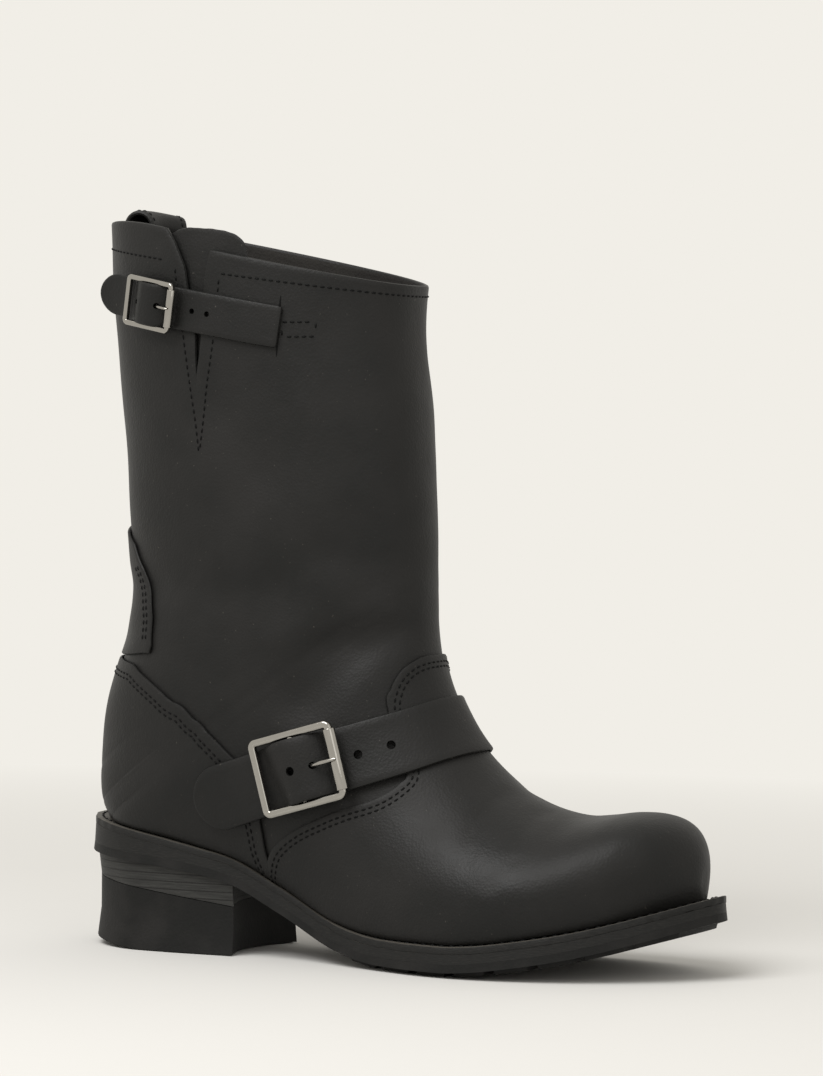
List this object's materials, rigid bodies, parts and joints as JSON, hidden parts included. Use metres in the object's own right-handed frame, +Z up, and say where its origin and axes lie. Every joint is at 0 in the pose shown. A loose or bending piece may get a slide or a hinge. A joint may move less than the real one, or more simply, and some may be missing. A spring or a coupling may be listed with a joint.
{
  "type": "engineer boot",
  "caption": "Right foot engineer boot in black oiled leather: tall shaft, round toe, strap and buckle over the instep and at the collar, stacked heel, lugged rubber sole.",
  "frame": {"origin": "on the floor, under the middle of the heel, where the flat part of the heel rests", "axes": "+Z up the shaft, +Y towards the toe, +X towards the outer side of the foot"},
  "size_m": [0.1033, 0.288, 0.3121],
  "materials": {
    "oiled_leather": "satin, oiled",
    "edge_leather": "satin, edge dressed",
    "lining_leather": "matte",
    "stack_leather": "matte, layered",
    "rubber": "matte",
    "nickel": "polished nickel plate"
  },
  "bodies": {
    "root": {"outsole": "rubber", "heel_lift": "rubber", "midsole": "edge_leather", "welt": "edge_leather", "heel_stack": "stack_leather", "insole": "lining_leather", "upper": "oiled_leather", "vamp": "oiled_leather", "heel_counter": "oiled_leather", "backstay": "oiled_leather", "gusset": "oiled_leather", "instep_strap": "oiled_leather", "instep_chape": "oiled_leather", "instep_buckle_frame": "nickel", "instep_buckle_roller": "nickel", "instep_buckle_prong": "nickel", "collar_strap": "oiled_leather", "collar_chape": "oiled_leather", "collar_buckle_frame": "nickel", "collar_buckle_roller": "nickel", "collar_buckle_prong": "nickel", "pull_loop": "oiled_leather"}
  },
  "joints": []
}
